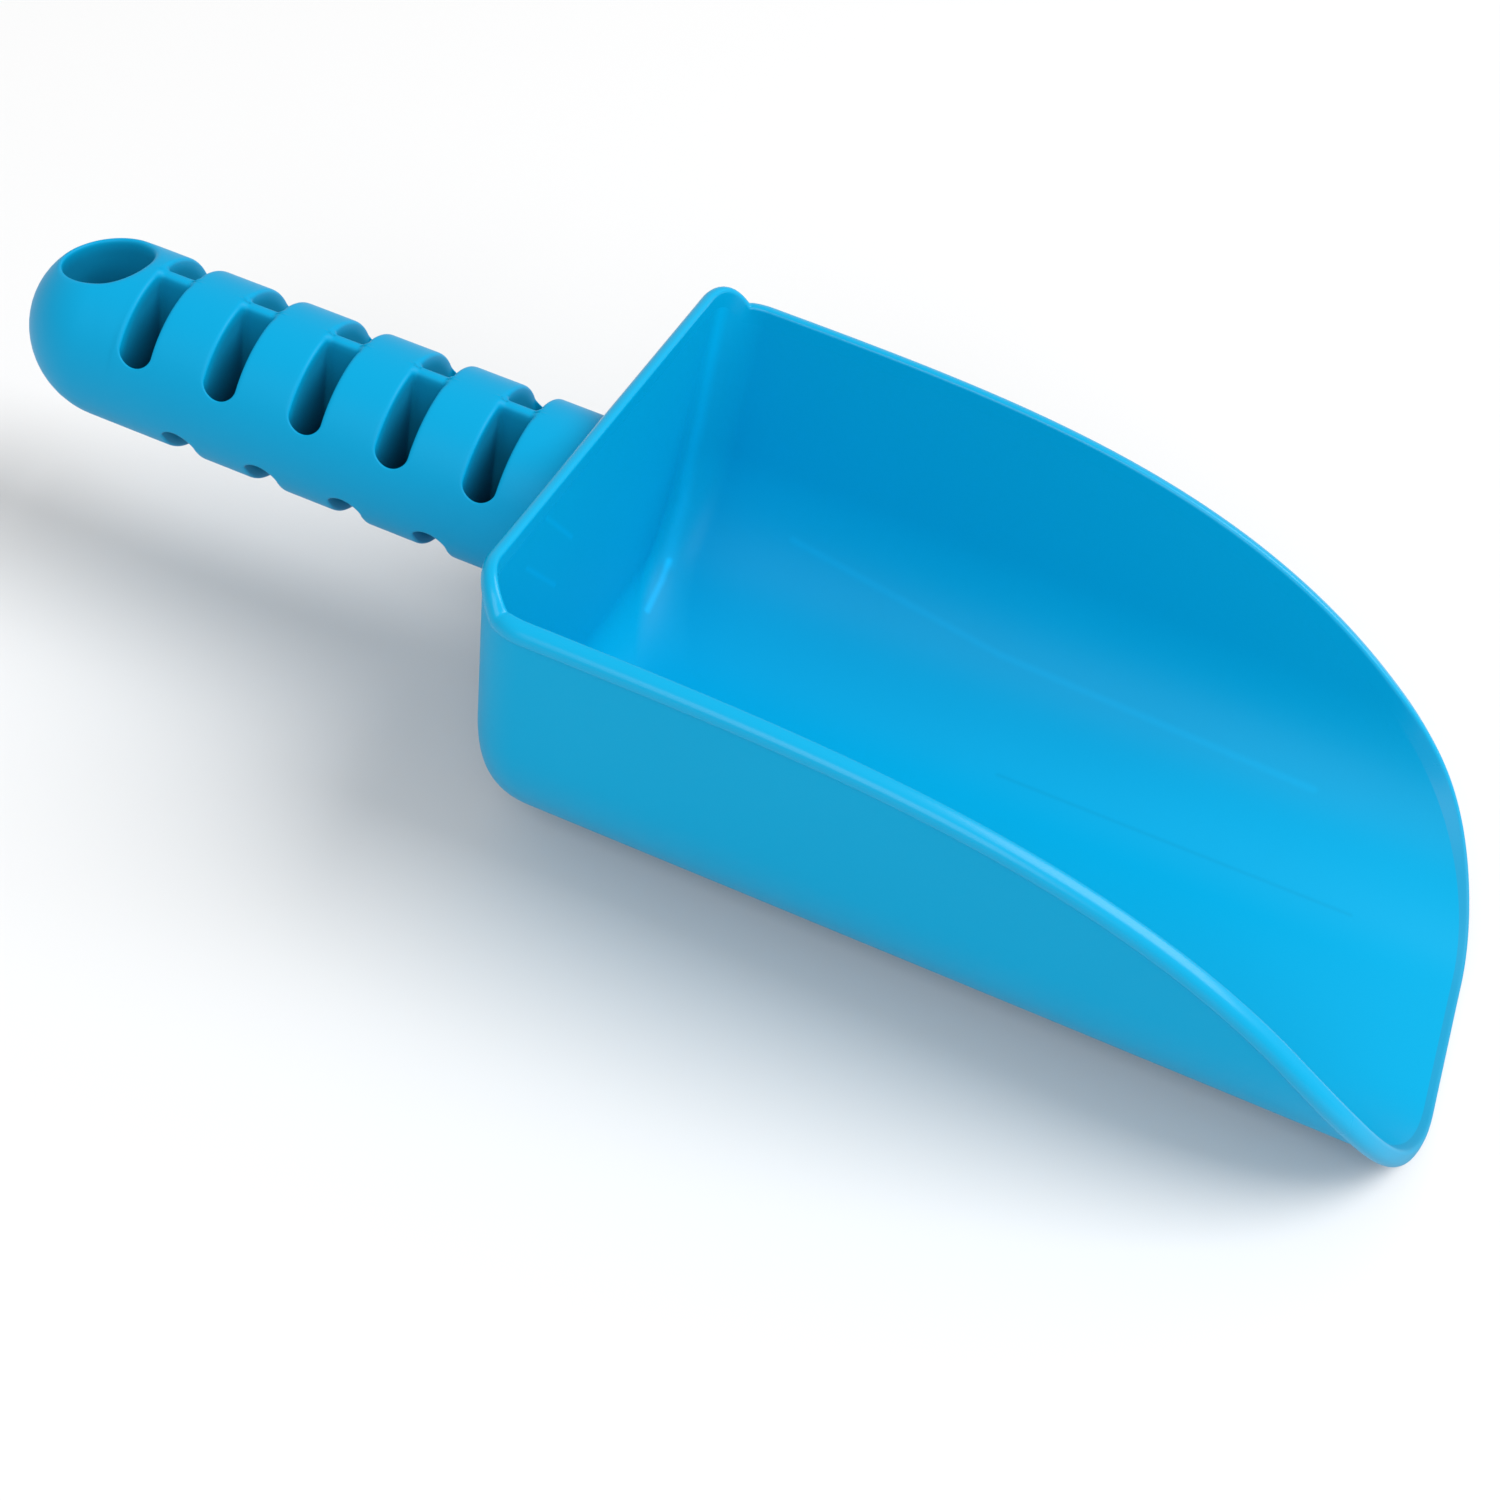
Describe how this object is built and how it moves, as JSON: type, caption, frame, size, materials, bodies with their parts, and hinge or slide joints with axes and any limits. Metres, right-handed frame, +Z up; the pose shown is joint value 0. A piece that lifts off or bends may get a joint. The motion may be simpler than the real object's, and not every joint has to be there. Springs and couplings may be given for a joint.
{
  "type": "sand shovel",
  "caption": "One-hand sand shovel: a deep bowl with a rolled rim and straight lip, and a round slotted grip with a hanging hole.",
  "frame": {"origin": "centre of the overall length and width, on the surface the floor of the bowl rests on", "axes": "+X from the handle towards the lip, +Y to the user's left, +Z up out of the bowl's open top"},
  "size_m": [0.3016, 0.1162, 0.071],
  "materials": {
    "blue_plastic": "satin"
  },
  "bodies": {
    "root": {"bowl_floor": "blue_plastic", "left_wall": "blue_plastic", "right_wall": "blue_plastic", "back_wall": "blue_plastic", "rim_left": "blue_plastic", "rim_right": "blue_plastic", "rim_back": "blue_plastic", "front_lip": "blue_plastic", "handle_root": "blue_plastic", "grip_slot_1": "blue_plastic", "grip_slot_2": "blue_plastic", "grip_slot_3": "blue_plastic", "grip_slot_4": "blue_plastic", "grip_slot_5": "blue_plastic", "grip_ring_1": "blue_plastic", "grip_ring_2": "blue_plastic", "grip_ring_3": "blue_plastic", "grip_ring_4": "blue_plastic", "handle_end": "blue_plastic"}
  },
  "joints": []
}
